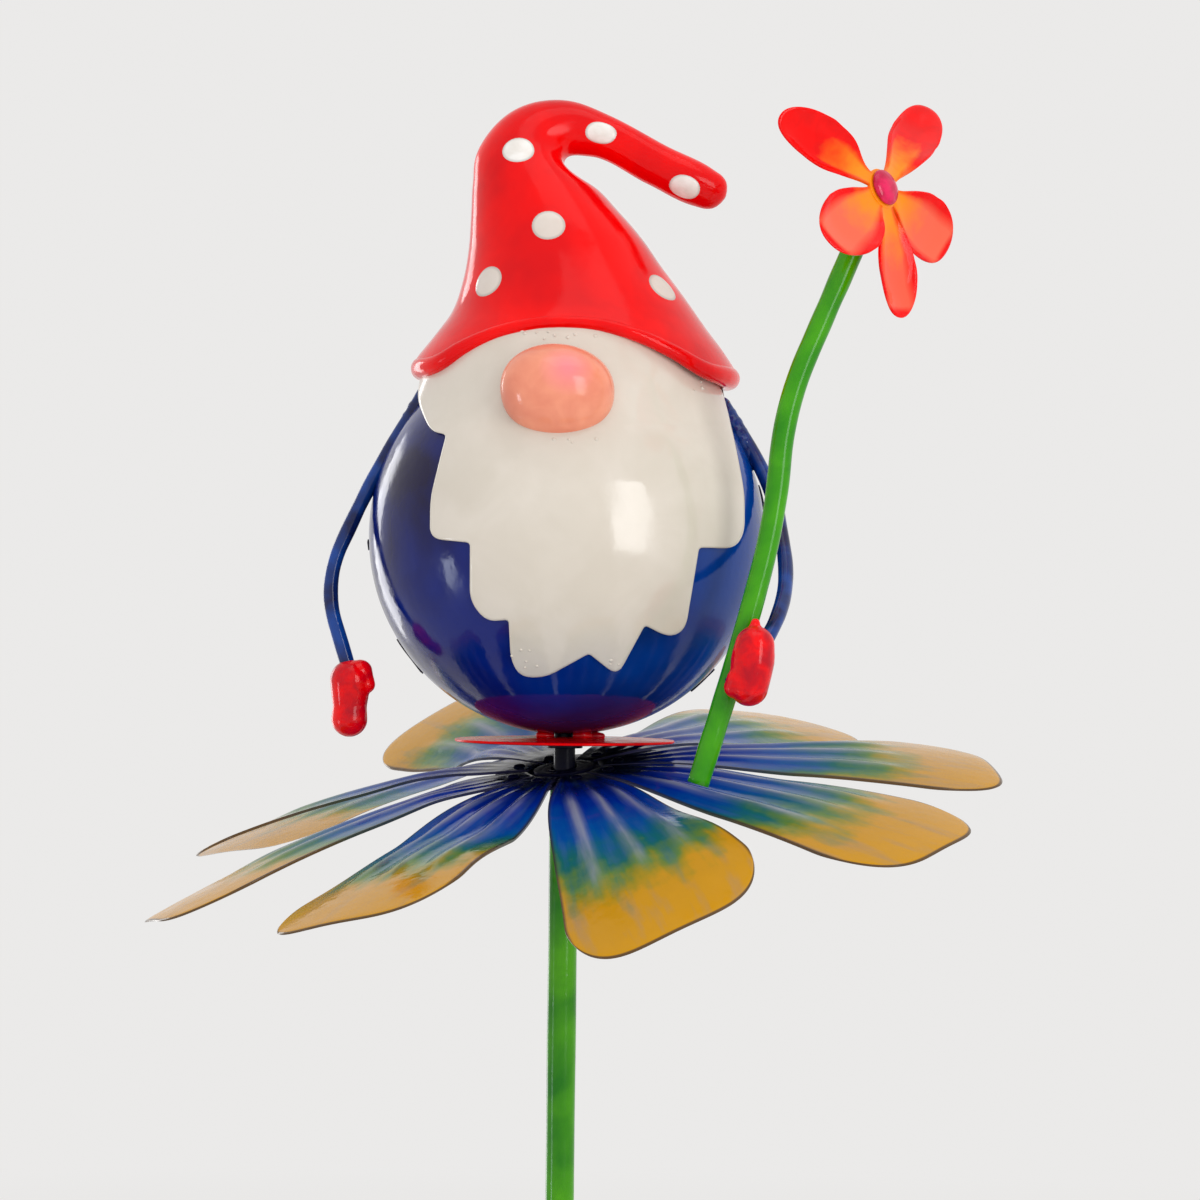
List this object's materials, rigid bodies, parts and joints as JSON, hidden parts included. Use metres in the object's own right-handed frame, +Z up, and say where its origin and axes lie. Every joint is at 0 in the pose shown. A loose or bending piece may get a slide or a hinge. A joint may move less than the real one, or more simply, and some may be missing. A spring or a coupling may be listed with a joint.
{
  "type": "garden stake wind spinner",
  "caption": "Gnome figure garden stake: round body, pointed hat, beard, wire arms and held flower above a leaning petal wheel that spins on the stake.",
  "frame": {"origin": "on the stake's axis at the ground line, 140 mm above the stake's point", "axes": "+Z up the stake, the gnome faces -Y, +X is to the right of someone who looks at its face"},
  "size_m": [0.2365, 0.2314, 0.7586],
  "materials": {
    "stake_green": "gloss enamel over steel tube",
    "spindle_black": "black gloss enamel",
    "plain_steel": "zinc plated",
    "gloss_red": "gloss enamel",
    "navy_blue": "gloss enamel",
    "beard_white": "gloss enamel, off white",
    "nose_pink": "gloss enamel, salmon",
    "arm_blue": "gloss enamel",
    "stem_green": "gloss enamel",
    "flower_orange": "gloss enamel, red to orange",
    "flower_magenta": "gloss enamel",
    "petal_blue": "translucent gloss enamel, blue to ochre"
  },
  "bodies": {
    "root": {"lower_stake_rod": "stake_green", "stake_stop_collar": "stake_green", "upper_stake_tube": "stake_green", "spindle_rod": "spindle_black", "thrust_washer": "plain_steel", "hub_bush": "spindle_black", "bush_retaining_ring": "spindle_black", "disc_support_ring": "spindle_black", "base_disc": "gloss_red", "ball_front_shell": "navy_blue", "ball_rear_shell": "navy_blue", "ball_lock_nut": "plain_steel", "beard_plate": "beard_white", "nose": "nose_pink", "hat_front_shell": "gloss_red", "hat_rear_shell": "gloss_red", "hat_support_post": "plain_steel", "hat_support_disc": "plain_steel", "left_arm_rod": "arm_blue", "right_arm_rod": "arm_blue", "left_glove": "gloss_red", "right_glove": "gloss_red", "flower_stem": "stem_green", "flower_head": "flower_orange", "flower_back_washer": "flower_orange", "flower_center_rivet": "flower_magenta"},
    "wheel": {"hub_plate": "petal_blue", "petal_1": "petal_blue", "petal_2": "petal_blue", "petal_3": "petal_blue", "petal_4": "petal_blue", "petal_5": "petal_blue", "petal_6": "petal_blue", "petal_7": "petal_blue", "petal_8": "petal_blue", "petal_rivets": "spindle_black"}
  },
  "joints": [
    {"name": "wheel_spin", "type": "hinge", "parent": "root", "child": "wheel", "pos_m": [0, 0, 0.432], "axis": [-0.1193, -0.1703, 0.9781], "continuous": true}
  ]
}
